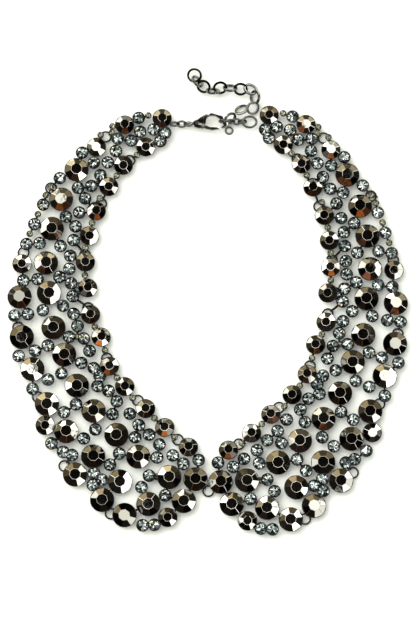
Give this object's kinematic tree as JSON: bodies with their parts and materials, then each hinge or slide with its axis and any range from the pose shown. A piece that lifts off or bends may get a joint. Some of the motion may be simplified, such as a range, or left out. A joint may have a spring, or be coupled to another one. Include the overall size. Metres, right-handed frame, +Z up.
{
  "type": "bib necklace",
  "caption": "Collar-shaped bib necklace: soldered segments of cut stones joined by jump rings, closed by a lever clasp on an extension chain.",
  "frame": {"origin": "middle of the flat underside on which the closed necklace lies", "axes": "+Z up out of the surface, +Y from the bottom of the bib to the clasp, +X to the wearer's left side"},
  "size_m": [0.184, 0.2206, 0.0062],
  "materials": {
    "stones_and_settings": "mirror-dark cut stones in polished gunmetal settings",
    "links": "polished gunmetal plate",
    "clasp": "polished gunmetal plate"
  },
  "bodies": {
    "necklace": {"left_segment_1": "stones_and_settings", "left_segment_2": "stones_and_settings", "left_segment_3": "stones_and_settings", "left_segment_4": "stones_and_settings", "left_segment_5": "stones_and_settings", "left_segment_6": "stones_and_settings", "left_segment_7": "stones_and_settings", "left_segment_8": "stones_and_settings", "left_neck_jump_ring_1": "links", "left_outer_jump_ring_1": "links", "left_neck_jump_ring_2": "links", "left_outer_jump_ring_2": "links", "left_neck_jump_ring_3": "links", "left_outer_jump_ring_3": "links", "left_neck_jump_ring_4": "links", "left_outer_jump_ring_4": "links", "left_neck_jump_ring_5": "links", "left_outer_jump_ring_5": "links", "left_neck_jump_ring_6": "links", "left_outer_jump_ring_6": "links", "left_neck_jump_ring_7": "links", "left_outer_jump_ring_7": "links", "right_segment_1": "stones_and_settings", "right_segment_2": "stones_and_settings", "right_segment_3": "stones_and_settings", "right_segment_4": "stones_and_settings", "right_segment_5": "stones_and_settings", "right_segment_6": "stones_and_settings", "right_segment_7": "stones_and_settings", "right_segment_8": "stones_and_settings", "right_neck_jump_ring_1": "links", "right_outer_jump_ring_1": "links", "right_neck_jump_ring_2": "links", "right_outer_jump_ring_2": "links", "right_neck_jump_ring_3": "links", "right_outer_jump_ring_3": "links", "right_neck_jump_ring_4": "links", "right_outer_jump_ring_4": "links", "right_neck_jump_ring_5": "links", "right_outer_jump_ring_5": "links", "right_neck_jump_ring_6": "links", "right_outer_jump_ring_6": "links", "right_neck_jump_ring_7": "links", "right_outer_jump_ring_7": "links", "centre_link": "links", "clasp_body": "clasp", "clasp_link": "links", "hooked_link": "links", "slanting_link": "links", "oval_ring": "links", "extension_chain": "links"},
    "lever": {"clasp_lever": "clasp"}
  },
  "joints": [
    {"name": "lever_hinge", "type": "hinge", "parent": "necklace", "child": "lever", "pos_m": [-0.00214, 0.08073, 0.0031], "axis": [0, 0, 1], "range_deg": [0, 11], "stiffness_Nm_per_rad": 0.002, "springref_deg": -5.73}
  ]
}
